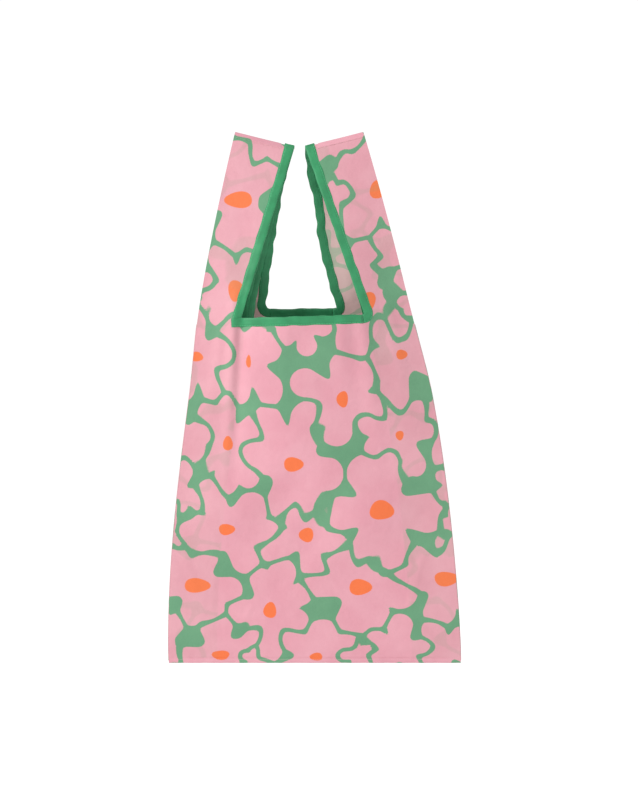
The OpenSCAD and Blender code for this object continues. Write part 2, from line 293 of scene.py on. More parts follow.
def layer_piece(name, grid, half, facts, finish, round_edges=False):
    """A closed layer of cloth or tape on a grid; its outer side is the side that the grid looks to."""
    shape = grid.shape[:2]
    facts = {word: np.broadcast_to(np.asarray(values, float), shape) for word, values in facts.items()}
    if not round_edges:
        grid = close_to_borders(grid)
        facts = {word: close_to_borders(values) for word, values in facts.items()}
    rows, cols = grid.shape[:2]
    outward = normals(grid) * np.broadcast_to(np.asarray(half, float), (rows, cols))[..., None]
    points = np.concatenate([(grid + outward).reshape(-1, 3), (grid - outward).reshape(-1, 3)])
    skins, borders = skin_faces(rows, cols)
    faces = np.concatenate([skins, borders])
    mesh = bpy.data.meshes.new(name)
    mesh.vertices.add(len(points))
    mesh.vertices.foreach_set("co", (points * METRE).astype(np.float32).ravel())
    mesh.loops.add(faces.size)
    mesh.loops.foreach_set("vertex_index", faces.ravel().astype(np.int32))
    mesh.polygons.add(len(faces))
    mesh.polygons.foreach_set("loop_start", np.arange(0, faces.size, 4, dtype=np.int32))
    smooth = np.ones(len(faces), bool)
    smooth[len(skins):] = round_edges
    mesh.polygons.foreach_set("use_smooth", smooth)
    both_skins = {word: np.tile(values.ravel(), 2) for word, values in facts.items()}
    both_skins["inside"] = np.repeat([0.0, 1.0], rows * cols)
    for word, values in both_skins.items():
        attribute = mesh.attributes.new(word, "FLOAT", "POINT")
        attribute.data.foreach_set("value", values.astype(np.float32))
    mesh.validate()
    mesh.update(calc_edges=True)
    mesh.materials.append(finish)
    piece = bpy.data.objects.new(name, mesh)
    bpy.context.scene.collection.objects.link(piece)
    return piece


def flat_area(grid):
    """Area of one side of a grid, in square metres."""
    corner = grid[:-1, :-1]
    one = np.cross(grid[:-1, 1:] - corner, grid[1:, 1:] - corner)
    two = np.cross(grid[1:, 1:] - corner, grid[1:, :-1] - corner)
    whole = np.linalg.norm(one, axis=2).sum() + np.linalg.norm(two, axis=2).sum()
    return whole / 2 * METRE ** 2


# ---- the printed pattern: loose round flowers with oval middles on a plain ground ----

# Each flower: middle x and z, half width, half height, lobes, turn, its middle's half width and half height.
# Listed from the photographed print, whose composition this list repeats; that repeat is a fault, and the
# generic lattice of scattered_flowers could take its place.
FRONT_FLOWERS = [
    (-74, -60, 52, 58, 5, 0.5, 17, 10), (-78, -170, 46, 54, 6, 1.1, 9, 13),
    (-43, 18, 36, 36, 5, 0.4, 0, 0), (-126, -251, 42, 58, 5, 0.2, 8, 6),
    (-62, -256, 44, 56, 6, 0.3, 3, 8), (3, -212, 34, 34, 5, 0.0, 0, 0),
    (-88, -357, 45, 56, 6, 0.4, 6, 9), (-90, -463, 56, 58, 6, 0.9, 10, 7),
    (-127, -533, 54, 52, 6, 0.1, 16, 9), (-98, -620, 56, 48, 5, 0.6, 11, 6),
    (20, -622, 58, 44, 6, 0.4, 8, 5), (-37, -564, 54, 58, 7, 0.3, 8, 10),
    (-8, -382, 66, 72, 6, 0.0, 12, 9), (8, -470, 52, 46, 5, 1.0, 9, 9),
    (52, -302, 60, 58, 6, 0.6, 7, 10), (74, -535, 62, 58, 6, 0.1, 14, 10),
    (100, -439, 70, 68, 6, 0.05, 15, 12), (122, -347, 46, 56, 7, 0.1, 5, 6),
    (124, -248, 42, 62, 5, 0.9, 7, 6), (85, -182, 50, 66, 5, 0.6, 7, 11),
    (94, -48, 56, 56, 5, 0.3, 9, 11), (180, -525, 66, 54, 6, 0.2, 15, 9),
    (43, 10, 32, 34, 5, 1.1, 0, 0), (-146, -352, 34, 44, 5, 0.5, 0, 0),
    (-150, -418, 28, 34, 5, 1.1, 0, 0), (-156, -458, 22, 30, 5, 0.2, 0, 0),
    (-168, -605, 30, 36, 5, 0.7, 0, 0), (124, -612, 40, 36, 5, 0.2, 0, 0),
    (180, -612, 34, 36, 5, 0.9, 0, 0), (190, -464, 24, 30, 5, 1.4, 0, 0),
    (39, -60, 20, 34, 5, 0.3, 0, 0), (118, -134, 38, 40, 5, 0.8, 0, 0),
    (-128, -176, 24, 36, 5, 0.8, 0, 0), (142, -190, 22, 26, 5, 0.1, 0, 0),
    (72, -618, 22, 24, 5, 0.5, 0, 0), (176, -340, 22, 44, 5, 0.4, 0, 0),
    (184, -408, 18, 26, 5, 0.0, 0, 0), (-58, -628, 18, 16, 5, 0.0, 0, 0),
]
FULLNESS = 1.13
GROUND_GAP = 4.5


def scattered_flowers():
    """The same kind of flower on a loose lattice, for the cloth beyond the front."""
    flowers = []
    for i in range(-5, 6):
        for j in range(-8, 3):
            x = 106 * i + 53 * (j % 2) + 12 * math.sin(5 * i + 3 * j)
            z = 88 * j + 20 + 10 * math.cos(4 * i - 2 * j)
            lobes = 5 + (i + 2 * j) % 3
            wide = 64 + 5 * math.sin(2 * i + j)
            flowers.append((x, z, wide, 0.92 * wide, lobes, 0.9 * i + 1.7 * j, 12, 9))
    return flowers


def flower_reach(across, up, flower):
    """Distance outside the edge of a flower with round petals, in millimetres; less than 0 inside it."""
    x, z, wide, tall, lobes, turn = flower[:6]
    size = FULLNESS * min(wide, tall)
    dx = (across - x) * min(wide, tall) / wide
    dz = (up - z) * min(wide, tall) / tall
    soft = 0.035 * size
    near = np.exp(np.clip((0.4 * size - np.hypot(dx, dz)) / soft, -60, 60))
    for k in range(lobes):
        angle = turn + TAU * k / lobes + 0.25 * math.sin(2.3 * k + x)
        long = size * (0.68 + 0.09 * math.sin(1.7 * k + 0.3 * z))
        round_by = size * (1.72 + 0.22 * math.sin(2.9 * k + 0.2 * x)) / lobes
        tip_x, tip_z = long * math.cos(angle), long * math.sin(angle)
        along = np.clip((dx * tip_x + dz * tip_z) / long ** 2, 0, 1)
        reach = np.hypot(dx - along * tip_x, dz - along * tip_z) - mix(0.16 * size, round_by, along)
        near += np.exp(np.clip(-reach / soft, -60, 60))
    return -soft * np.log(near)


def print_facts(across, up, flowers):
    """How far each point lies inside a petal and inside a flower's middle, in millimetres."""
    nearest = np.full(across.shape, 99.0)
    second = np.full(across.shape, 99.0)
    eye = np.full(across.shape, -9.0)
    for flower in flowers:
        reach = flower_reach(across, up, flower)
        second = np.where(reach < nearest, nearest, np.minimum(second, reach))
        nearest = np.minimum(nearest, reach)
        x, z, eye_x, eye_z = flower[0], flower[1], flower[6], flower[7]
        if eye_x:
            dx, dz = (across - x) / eye_x, (up - z) / eye_z
            ring = np.hypot(dx, dz) * (1 + 0.07 * np.sin(3 * np.arctan2(dz, dx) + x))
            eye = np.maximum(eye, (1 - ring) * min(eye_x, eye_z))
    inside = np.minimum(-nearest, (second - nearest - GROUND_GAP) / 2)
    return np.clip(inside, -9, 9), eye


def cloth_facts(across, up, flowers, seam=None, behind=-9.0):
    """The print and, where behind is over 0, how far a second layer reaches behind this one."""
    petal, eye = print_facts(across, up, flowers)
    # ghost is the print of the layer behind, which the finish paints through this cloth as shade.
    ghost = print_facts(across + 31, up + 17, SCATTERED)[0]
    facts = {"petal": petal, "eye": eye, "ghost": ghost, "behind": behind, "warp": across, "weft": up}
    if seam is not None:
        facts["seam"] = seam
    return facts


def both_faces_facts(grid, seam=None):
    """Facts of a cloth that goes round from the front to the back of the bag."""
    front = cloth_facts(grid[..., 0], grid[..., 2], FRONT_FLOWERS, seam)
    back = cloth_facts(grid[..., 0], grid[..., 2], SCATTERED, seam)
    return {word: np.where(grid[..., 1] < 0, front[word], back[word]) for word in front}


# ---- finishes ----

def to_light(level):
    """One channel of an sRGB colour as linear light."""
    return level / 12.92 if level <= 0.04045 else ((level + 0.055) / 1.055) ** 2.4


def paint(red, green, blue):
    """A colour as the eye names it, turned into light."""
    return to_light(red), to_light(green), to_light(blue), 1


class Wire:
    """The output of a node; arithmetic on it adds Math nodes to its finish."""

    def __init__(self, finish, socket):
        self.finish = finish
        self.socket = socket

    def maths(self, operation, one, two=None):
        inputs = {0: one} if two is None else {0: one, 1: two}
        return self.finish.node("ShaderNodeMath", {"operation": operation}, inputs)

    def __add__(self, other):
        return self.maths("ADD", self, other)

    __radd__ = __add__

    def __sub__(self, other):
        return self.maths("SUBTRACT", self, other)

    def __rsub__(self, other):
        return self.maths("SUBTRACT", other, self)

    def __mul__(self, other):
        return self.maths("MULTIPLY", self, other)

    __rmul__ = __mul__

    def __truediv__(self, other):
        return self.maths("DIVIDE", self, other)

    def __abs__(self):
        return self.maths("ABSOLUTE", self)

    def sine(self):
        return self.maths("SINE", self)

    def share(self):
        """What is left after whole steps, from 0 to 1."""
        return self.maths("FRACT", self)

    def clear_of(self, level, softness):
        """0 below a level and 1 above it, with a soft step."""
        settings = {"interpolation_type": "SMOOTHSTEP", "clamp": True}
        ranged = {"Value": self, "From Min": level - softness, "From Max": level + softness}
        return self.finish.node("ShaderNodeMapRange", settings, ranged)


class Finish:
    """A material that is built from nodes."""

    def __init__(self, name):
        self.material = bpy.data.materials.new(name)
        self.material.use_nodes = True
        self.tree = self.material.node_tree
        self.tree.nodes.clear()

    def node(self, kind, settings=None, inputs=None, output=0):
        made = self.tree.nodes.new(kind)
        for word, value in (settings or {}).items():
            setattr(made, word, value)
        for socket, value in (inputs or {}).items():
            if isinstance(value, Wire):
                self.tree.links.new(value.socket, made.inputs[socket])
            else:
                made.inputs[socket].default_value = value
        return Wire(self, made.outputs[output]) if len(made.outputs) else None

    def fact(self, word):
        return self.node("ShaderNodeAttribute", {"attribute_name": word}, output=2)

    def place(self, across, up):
        return self.node("ShaderNodeCombineXYZ", {}, {"X": across, "Y": up})

    def noise(self, vector, scale, detail=2.0):
        sockets = {"Vector": vector, "Scale": scale, "Detail": detail, "Roughness": 0.55}
        return self.node("ShaderNodeTexNoise", {}, sockets)

    def blend(self, share, one, two):
        sockets = {0: share, 6: one, 7: two}
        return self.node("ShaderNodeMix", {"data_type": "RGBA"}, sockets, output=2)

    def bump(self, height, distance, strength=1.0):
        sockets = {"Height": height, "Distance": distance, "Strength": strength}
        return self.node("ShaderNodeBump", {}, sockets)

    def surface(self, **sockets):
        named = {word.replace("_", " "): value for word, value in sockets.items()}
        shader = self.node("ShaderNodeBsdfPrincipled", {}, named)
        self.node("ShaderNodeOutputMaterial", {}, {"Surface": shader})
        return self.material


PINK = paint(0.745, 0.53, 0.57)
PINK_DEEP = paint(0.725, 0.495, 0.54)
PRINT_GREEN = paint(0.335, 0.52, 0.39)
PRINT_GREEN_DEEP = paint(0.305, 0.49, 0.365)
ORANGE = paint(0.79, 0.37, 0.18)
PALE = paint(0.80, 0.75, 0.70)
TAPE_GREEN = paint(0.13, 0.50, 0.31)
TAPE_SHADE = paint(0.08, 0.42, 0.25)
THREAD_GREEN = paint(0.22, 0.60, 0.39)
THREAD_PINK = paint(0.80, 0.60, 0.65)
SNAP_WHITE = paint(0.93, 0.92, 0.89)
FLOOR_WHITE = paint(0.995, 0.995, 0.995)


def dashes(along, pitch, filled):
    """1 on each stitch of a row and 0 between two stitches."""
    return 1 - (along / pitch).share().clear_of(filled, 0.06)


def printed_cloth_finish():
    cloth = Finish("printed_cloth")
    warp, weft = cloth.fact("warp"), cloth.fact("weft")
    place = cloth.place(warp, weft)
    soft = cloth.noise(place, 0.02, 3.0)
    fine = cloth.noise(place, 0.6, 2.0)
    edge_wander = (fine - 0.5) * 0.7
    petal = (cloth.fact("petal") + edge_wander).clear_of(0, 0.35)
    eye = (cloth.fact("eye") + edge_wander).clear_of(0, 0.35)
    pink = cloth.blend(soft.clear_of(0.5, 0.22), PINK, PINK_DEEP)
    green = cloth.blend(soft.clear_of(0.5, 0.25), PRINT_GREEN, PRINT_GREEN_DEEP)
    print_side = cloth.blend(eye * petal, cloth.blend(petal, green, pink), ORANGE)
    # Painted shade: where a second layer of cloth lies behind, the print is darkened towards deep green, more
    # where that layer's green ground lies behind, as light through the thin cloth would show.
    shade_where_doubled = cloth.fact("behind").clear_of(0, 1.5)
    green_shade_behind = 1 - cloth.fact("ghost").clear_of(0, 1.2)
    print_side = cloth.blend(shade_where_doubled * (green_shade_behind * 0.13 + 0.05), print_side, PRINT_GREEN_DEEP)
    reverse = cloth.blend(0.5, print_side, PALE)
    colour = cloth.blend(cloth.fact("inside").clear_of(0.5, 0.3), print_side, reverse)
    off_seam = abs(cloth.fact("seam") - SEAM_ROW)
    stitch = (1 - off_seam.clear_of(0.35, 0.12)) * dashes(warp, 2.6, 0.8)
    colour = cloth.blend(stitch * 0.3, colour, THREAD_PINK)
    threads = (warp * (TAU / 0.75)).sine() * 0.5 + (weft * (TAU / 0.75)).sine() * 0.5
    crumple = cloth.noise(place, 0.09, 4.0)
    puckers = 1 - off_seam.clear_of(1.6, 1.4)
    height = threads * 0.05 + crumple * 3.2 + stitch * 0.6 - puckers * 0.35
    normal = cloth.bump(height, 0.0005, 0.55)
    rough = 0.62 + (fine - 0.5) * 0.12
    return cloth.surface(Base_Color=colour, Roughness=rough, Normal=normal, Sheen_Weight=0.22,
                         Sheen_Roughness=0.45, Specular_IOR_Level=0.35)


def tape_finish():
    tape = Finish("binding_tape")
    across, along = tape.fact("across"), tape.fact("along")
    place = tape.place(along, across)
    soft = tape.noise(place, 0.05, 3.0)
    fine = tape.noise(place, 1.1, 2.0)
    base = tape.blend(soft.clear_of(0.5, 0.3), TAPE_GREEN, TAPE_SHADE)
    off_row = abs(across - 1.7)
    needle_line = 1 - off_row.clear_of(0.9, 0.7)
    # Painted shade: the tape is darkened along the groove of its row of stitches.
    base = tape.blend(needle_line * 0.45, base, TAPE_SHADE)
    stitch = (1 - off_row.clear_of(0.36, 0.12)) * dashes(along, 3.1, 0.78)
    colour = tape.blend(stitch * 0.85, base, THREAD_GREEN)
    ribs = ((along + across * 0.8) * (TAU / 0.9)).sine()
    puckers = (along * (TAU / 6.3) + soft * 5).sine() * needle_line
    height = ribs * 0.06 + puckers * 0.35 + stitch * 0.7 - needle_line * 0.6 + soft * 1.2
    normal = tape.bump(height, 0.0005, 0.6)
    rough = 0.55 + (fine - 0.5) * 0.15
    return tape.surface(Base_Color=colour, Roughness=rough, Normal=normal, Sheen_Weight=0.3,
                        Sheen_Roughness=0.4, Specular_IOR_Level=0.4)


def snap_finish():
    snap = Finish("snap_plastic")
    place = snap.node("ShaderNodeTexCoord", {}, output=3)
    soft = snap.noise(place, 240.0, 3.0)
    fine = snap.noise(place, 1500.0, 2.0)
    colour = snap.blend(soft * 0.2, SNAP_WHITE, paint(0.82, 0.81, 0.78))
    normal = snap.bump(fine, 0.00005, 0.3)
    return snap.surface(Base_Color=colour, Roughness=0.28 + soft * 0.14, Normal=normal, Coat_Weight=0.2)


def floor_finish():
    floor = Finish("pale_floor")
    place = floor.node("ShaderNodeTexCoord", {}, output=3)
    soft = floor.noise(place, 1.5, 2.0)
    colour = floor.blend(soft, FLOOR_WHITE, paint(0.985, 0.985, 0.985))
    return floor.surface(Base_Color=colour, Roughness=0.8)


PRINTED_CLOTH = printed_cloth_finish()
BINDING_TAPE = tape_finish()
SNAP_PLASTIC = snap_finish()

SCATTERED = scattered_flowers()


def xyz(x, y, z):
    """Points from three arrays that broadcast together."""
    return np.stack(np.broadcast_arrays(np.asarray(x, float), y, z), axis=-1)


def follow_cross_fold(piece):
    """Bakes the piece's transform into its mesh; it does not bend the piece."""
    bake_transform(piece)


def follow_handle(piece):
    """Bakes the piece's transform into its mesh; it does not bend the piece."""
    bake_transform(piece)


def declare_cloth(grid, flat):
    """Works out the area that the cloth's cut covers; nothing uses it."""
    area = min(flat_area(grid), flat[0] * flat[1])


# ---- the bag's body ----

def mouth_level(face, x):
    """Height of the middle of the tape along the mouth; the rear edge stands a little higher."""
    if face == FRONT:
        return LEVEL + MOUTH_SLOPE * x
    return LEVEL + REAR_RISE + 0.5 * np.sin(x / 14)


def panel_top(face, x):
    """The panel's top edge; between the straps it reaches up under the mouth's tape."""
    edge = np.where(x < middle(RIM), MOUTH_EDGE[face, LEFT], MOUTH_EDGE[face, RIGHT])
    between = 1 - ease((np.abs(x - middle(RIM)) - edge - 4) / 4)
    return mix(SPLIT, mouth_level(face, x) + 3, between)


def make_panel(face):
    share, up = np.meshgrid(np.linspace(-1, 1, 133), np.linspace(0, 1, 157))
    at_rim = middle(RIM) + share * half_width(RIM)
    z = mix(CLOTH_FOOT, panel_top(face, at_rim), up)
    x = middle(z) + share * half_width(z)
    grid = turned_to(xyz(x, face * cloth_depth(face, x, z), z), (0, face, 0))
    x, z = grid[..., 0], grid[..., 2]
    flowers = FRONT_FLOWERS if face == FRONT else SCATTERED
    name = FACE_NAME[face] + "_panel"
    facts = cloth_facts(x, z, flowers, behind=np.abs(x - middle(z)) - leaf_edge(z))
    piece = layer_piece(name, grid, CLOTH_HALF, facts, PRINTED_CLOTH)
    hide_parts(name + "_upper", name + "_lower")
    declare_cloth(grid, (0.362, 0.43))
    follow_cross_fold(piece)


def make_gusset(side):
    """One cloth: from the rear side edge in to the fold and back out to the front side edge."""
    heights = np.linspace(CLOTH_FOOT, SPLIT, 110)
    leaf = np.linspace(0, 1, 27)
    rows = []
    for z in heights:
        z = np.float64(z)
        outer, inner = half_width(z), leaf_edge(z)
        x = middle(z) + side * mix(outer, inner, leaf)
        rear_x = middle(z) + side * mix(outer, inner - rear_slip(side, BACK, z), leaf)
        behind, before = leaf_depth(BACK, rear_x, z), -leaf_depth(FRONT, x, z)
        edge = cloth_depth(BACK, x[0], z), -cloth_depth(FRONT, x[0], z)
        turn = side * 0.5
        tip_x = (x[-1] + rear_x[-1]) / 2 - side * 0.9
        rear = [(x[0] + turn, (edge[0] + behind[0]) / 2, z)] + [(a, b, z) for a, b in zip(rear_x, behind)]
        fore = [(a, b, z) for a, b in zip(x[::-1], before[::-1])]
        fore.append((x[0] + turn, (edge[1] + before[0]) / 2, z))
        rows.append(rear + [(tip_x, 0, z)] + fore)
    grid = np.array(rows, float)
    if side == RIGHT:
        grid = grid[:, ::-1]
    steps = np.linalg.norm(np.diff(grid, axis=1), axis=2)
    along = np.concatenate([np.zeros((len(rows), 1)), np.cumsum(steps, axis=1)], axis=1)
    facts = cloth_facts(along - 60 + 40 * side, grid[..., 2], SCATTERED)
    name = SIDE_NAME[side] + "_gusset"
    piece = layer_piece(name, grid, CLOTH_HALF, facts, PRINTED_CLOTH)
    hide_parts(name + "_upper", name + "_lower")
    declare_cloth(grid, (0.15, 0.42))
    follow_cross_fold(piece)


def make_bottom_seam():
    """The layers lie together and are sewn through along the bottom."""
    share = np.linspace(-1, 1, 133)
    path = [(1, 6.6), (1, 5), (1, 3), (0.9, 1.4), (0.55, 0.35), (0, 0), (-0.55, 0.35), (-0.9, 1.4), (-1, 3),
            (-1, 5), (-1, 6.6)]
    rows = []
    for reach, up in path:
        z = np.full(share.shape, BOTTOM + up)
        x = middle(z) + share * half_width(z)
        cloth = np.maximum(cloth_depth(FRONT, x, z), cloth_depth(BACK, x, z))
        pinched = mix(1, 0.7, np.abs(share) ** 10)
        wave = 0.25 * np.sin(share * 40) + 0.18 * np.sin(share * 91 + 1)
        rows.append(xyz(x, reach * (cloth + 0.3) * pinched + 0.3 * wave * abs(reach), z + 0.25 * wave))
    grid = np.array(rows)
    seam = SEAM_ROW + (grid[..., 2] - BOTTOM - 4.4)
    facts = both_faces_facts(grid, seam)
    piece = layer_piece("bottom_hem", grid, 0.3, facts, PRINTED_CLOTH)
    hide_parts("bottom_seam")
    declare_cloth(grid, (0.363, 0.02))
    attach(piece, "lower_half")


# ---- binding tape ----

def tape_piece(name, line, depth_at, face, half=TAPE_HALF, loose=0.2):
    """Folded tape along a line in x and z; the first edge is the sewn one and the last the free one."""
    line = np.asarray(line, float)
    run = np.gradient(line, axis=0)
    run /= np.linalg.norm(run, axis=1, keepdims=True)
    beside = np.stack([-run[:, 1], run[:, 0]], axis=1)
    steps = np.linalg.norm(np.diff(line, axis=0), axis=1)
    along = np.concatenate([[0], np.cumsum(steps)])
    shares = np.array([-0.5, -0.47, -0.4, -0.28, -0.1, 0.1, 0.28, 0.42, 0.48, 0.5])
    wobble = np.sin(along / 5.3 + 0.7 * np.sin(along / 17)) + 0.6 * np.sin(along / 2.9 + 1)
    waver = wobble[:, None] * np.where(shares > 0, loose, 0.15) * (2 * shares) ** 2
    spread = shares[None, :] * TAPE_WIDTH + waver
    x = line[:, :1] + beside[:, :1] * spread
    z = line[:, 1:] + beside[:, 1:] * spread
    z = z + (handle_top(x, z) - HANG_DROP) * ease((z - HANG_DROP + 12) / 12)
    depth = depth_at(x, z) + 0.22 * np.sin(along[:, None] / 4.1 + 2 * shares[None, :])
    grid = xyz(x, face * depth, z)
    thick = half * np.maximum(1 - np.abs(2 * shares) ** 7, 0.18) * np.where(shares > 0.2, 1.08, 1)
    across = (shares[None, :] + 0.5) * TAPE_WIDTH + np.zeros_like(x)
    order = normals(grid).mean(axis=(0, 1))[1] * face
    if order < 0:
        grid, thick, across = grid[:, ::-1], thick[::-1], across[:, ::-1]
    facts = {"across": across, "along": along[:, None] + np.zeros_like(x)}
    piece = layer_piece(name, grid, thick, facts, BINDING_TAPE, round_edges=True)
    return piece


def strap_tape_line(side, face, cut):
    """Down the strap's inner edge, round the corner and a little way along the mouth."""
    corner_x = middle(LEVEL) + side * (strap_edge(side, face, np.float64(RIM)) + TAPE_WIDTH / 2)
    corner = np.array([corner_x, mouth_level(face, corner_x)])
    z = np.arange(HANG_DROP + 1.3, corner[1] + cut, -1.4)
    x = middle(z) + side * (strap_edge(side, face, z) + TAPE_WIDTH / 2)
    start = np.array([x[-1], z[-1]])
    end_x = corner_x - side * cut
    end = np.array([end_x, mouth_level(face, end_x)])
    bend = [(1 - t) ** 2 * start + 2 * t * (1 - t) * corner + t * t * end for t in np.linspace(0, 1, 9)[1:]]
    return np.concatenate([np.stack([x, z], axis=1), bend])


def make_strap_tape(side, face):
    line = strap_tape_line(side, face, CORNER_CUT[face, side])
    if side == RIGHT:
        line = line[::-1]
    where = f"{SIDE_NAME[side]}_{FACE_NAME[face]}_strap"
    loose = 0.6 if face == BACK else 0.2
    piece = tape_piece(where + "_tape", line, lambda x, z: cloth_depth(face, x, z), face, loose=loose)
    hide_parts(where + "_binding")
    follow_handle(piece)


def mouth_tape_end(side, face):
    """Where the mouth's tape meets a strap's tape."""
    corner = middle(LEVEL) + side * (strap_edge(side, face, np.float64(RIM)) + TAPE_WIDTH / 2)
    if (face, side) == (FRONT, LEFT):
        return corner + side * (TAPE_WIDTH / 2 + 1.5)
    return corner - side * (CORNER_CUT[face, side] - 0.2)


def make_mouth_tape(face):
    left_end = mouth_tape_end(LEFT, face)
    x = np.linspace(left_end, mouth_tape_end(RIGHT, face), 48)
    line = np.stack([x, mouth_level(face, x)], axis=1)
    lap = 1.0 if face == FRONT else 0.0

    def depth_at(x, z):
        return cloth_depth(face, x, z) + lap * (1 - ease((x - left_end - 10) / 8))

    name = FACE_NAME[face]
    piece = tape_piece(name + "_mouth_tape", line, depth_at, face, half=TAPE_HALF - 0.04, loose=0.3)
    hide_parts(name + "_rim_binding")
    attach(piece, "bag_body")


def make_lining_tape(side, face):
    z = np.arange(HANG_DROP - 1.5, SPLIT - 1, -1.75)
    z[-1] = SPLIT
    x = middle(z) + side * (leaf_edge(z) - rear_slip(side, face, z) + TAPE_WIDTH / 2)
    line = np.stack([x, z], axis=1)
    if side == RIGHT:
        line = line[::-1]
    where = f"{SIDE_NAME[side]}_{FACE_NAME[face]}_lining"
    piece = tape_piece(where + "_tape", line, lambda x, z: leaf_depth(face, x, z), face)
    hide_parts(where + "_binding")
    follow_handle(piece)


def make_gusset_tape(side):
    """The tape goes round the gusset's fold, from one lining's edge to the other's."""
    rows = []
    for z in np.linspace(SPLIT - UNDER_TAPE, SPLIT, 7):
        z = np.float64(z)
        x = middle(z) + side * (leaf_edge(z) + np.linspace(TAPE_WIDTH - 1, 0, 7))
        rear_x = x - side * rear_slip(side, BACK, z)
        behind, before = leaf_depth(BACK, rear_x, z) - 0.9, -leaf_depth(FRONT, x, z) + 0.9
        rear = [(a, max(b, 0.35), z) for a, b in zip(rear_x, behind)]
        fore = [(a, min(b, -0.35), z) for a, b in zip(x[::-1], before[::-1])]
        rows.append(rear + fore)
    grid = np.array(rows, float)
    if side == RIGHT:
        grid = grid[:, ::-1]
    cols = grid.shape[1]
    facts = {"along": np.linspace(0, 22, cols)[None, :], "across": grid[..., 2] - (SPLIT - UNDER_TAPE)}
    where = SIDE_NAME[side] + "_gusset"
    piece = layer_piece(where + "_tape", grid, 0.3, facts, BINDING_TAPE, round_edges=True)
    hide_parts(where + "_binding")
    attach(piece, "bag_body")


# ---- handles ----

def strap_place(side, face, lined):
    """Points of a strap or of its lining, from its outer edge in under its tape."""
    share, up = np.meshgrid(np.linspace(0, 1, 31), np.linspace(0, 1, 92))
    top = HANG_DROP + HANDLE_SLOPE * (1 - share)
    z = mix(SPLIT - 1, top - (1.5 if lined else 0), up)
    inner = leaf_edge(z) - rear_slip(side, face, z) if lined else strap_edge(side, face, z)
    x = middle(z) + side * mix(half_width(z) - (0.6 if lined else 0), inner + 2.2, share)
    return x, z


def make_strap(side, face):
    x, z = strap_place(side, face, False)
    lap = 0.04 * (1 - ease((z - SPLIT) / 8))
    grid = turned_to(xyz(x, face * (cloth_depth(face, x, z) + lap), z), (0, face, 0))
    flowers = FRONT_FLOWERS if face == FRONT else SCATTERED
    behind = np.abs(grid[..., 0] - middle(grid[..., 2])) - leaf_edge(grid[..., 2])
    facts = cloth_facts(grid[..., 0], grid[..., 2], flowers, behind=behind)
    where = f"{SIDE_NAME[side]}_{FACE_NAME[face]}_strap"
    piece = layer_piece(where + "_cloth", grid, CLOTH_HALF, facts, PRINTED_CLOTH)
    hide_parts(where)
    declare_cloth(grid, (0.085, 0.25))
    follow_handle(piece)


def make_lining(side, face):
    x, z = strap_place(side, face, True)
    grid = turned_to(xyz(x, face * leaf_depth(face, x, z), z), (0, -face, 0))
    facts = cloth_facts(grid[..., 0] + 40 * side, grid[..., 2], SCATTERED)
    where = f"{SIDE_NAME[side]}_{FACE_NAME[face]}_lining"
    piece = layer_piece(where + "_cloth", grid, CLOTH_HALF, facts, PRINTED_CLOTH)
    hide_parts(where)
    declare_cloth(grid, (0.085, 0.25))
    follow_handle(piece)


def make_handle_seam(side):
    """The welt where a handle's front and back straps are sewn together."""
    share = np.linspace(0.0, 0.995, 25)
    under_tape = ease((share - 0.78) / 0.06)
    drops = [5.4, 4, 2.4, 1.2, 0.3, -0.55]
    path = [(BACK, d) for d in drops] + [(FRONT, d) for d in drops[::-1]]
    rows = []
    for face, drop in path:
        top = HANG_DROP + HANDLE_SLOPE * (1 - share)
        z = top - drop - 1.4 * under_tape
        x = middle(z) + side * mix(half_width(z) - 0.2, HALF_GAP + 1.5, share)
        stand_off = mix(0.45, -0.3, under_tape)
        if drop > 0:
            depth = cloth_depth(face, x, np.minimum(z, top)) + stand_off
        else:
            depth = np.full(share.shape, 0.35)
        rows.append(xyz(x, face * depth, z))
    grid = np.array(rows)
    if side == LEFT:
        grid = grid[:, ::-1]
    facts = both_faces_facts(grid)
    where = SIDE_NAME[side] + "_handle"
    piece = layer_piece(where + "_top_seam", grid, 0.3, facts, PRINTED_CLOTH)
    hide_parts(where + "_seam")
    declare_cloth(grid, (0.078, 0.02))
    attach(piece, where)


# ---- stow pouch ----

POUCH_WIDTH, POUCH_HEIGHT = 104, 100
POUCH_TOP = RIM - 40
# The pouch follows the lean of the bag and not its bulge, as in the CAD.
POUCH_X = LEAN * (POUCH_TOP - POUCH_HEIGHT / 2) / BOTTOM
POUCH_BACK = 12.5
POUCH_FRONT = POUCH_BACK - 2 - 5.5
FLAP = POUCH_FRONT - 2
FLAP_LENGTH = 36


def pouch_sheet(name, grid, flat, node, body, seam=None):
    """One cloth of the pouch, from its grid to its place in the table."""
    facts = cloth_facts(grid[..., 0] + 30, grid[..., 2] + 20, SCATTERED, seam)
    piece = layer_piece(name, grid, CLOTH_HALF, facts, PRINTED_CLOTH)
    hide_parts(node)
    declare_cloth(grid, flat)
    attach(piece, body)


def rounded_width(drop, radius):
    """Half the pouch's width at a distance above its bottom, with round bottom corners."""
    inset = radius - math.sqrt(max(radius ** 2 - max(radius - drop, 0) ** 2, 0))
    return POUCH_WIDTH / 2 - inset


def make_pouch_back():
    rows = []
    for z in np.linspace(POUCH_TOP - POUCH_HEIGHT, POUCH_TOP, 41):
        half = rounded_width(z - POUCH_TOP + POUCH_HEIGHT, 14)
        x = POUCH_X + np.linspace(-half, half, 45)
        rows.append(xyz(x, POUCH_BACK - 0.55 + 0.15 * np.sin(x / 7 + z / 11), z))
    grid = turned_to(np.array(rows), (0, 1, 0))
    seam = SEAM_ROW + (POUCH_WIDTH / 2 - 3 - np.abs(grid[..., 0] - POUCH_X))
    pouch_sheet("pouch_back_cloth", grid, (0.105, 0.101), "pouch_back", "stow_pouch", seam)


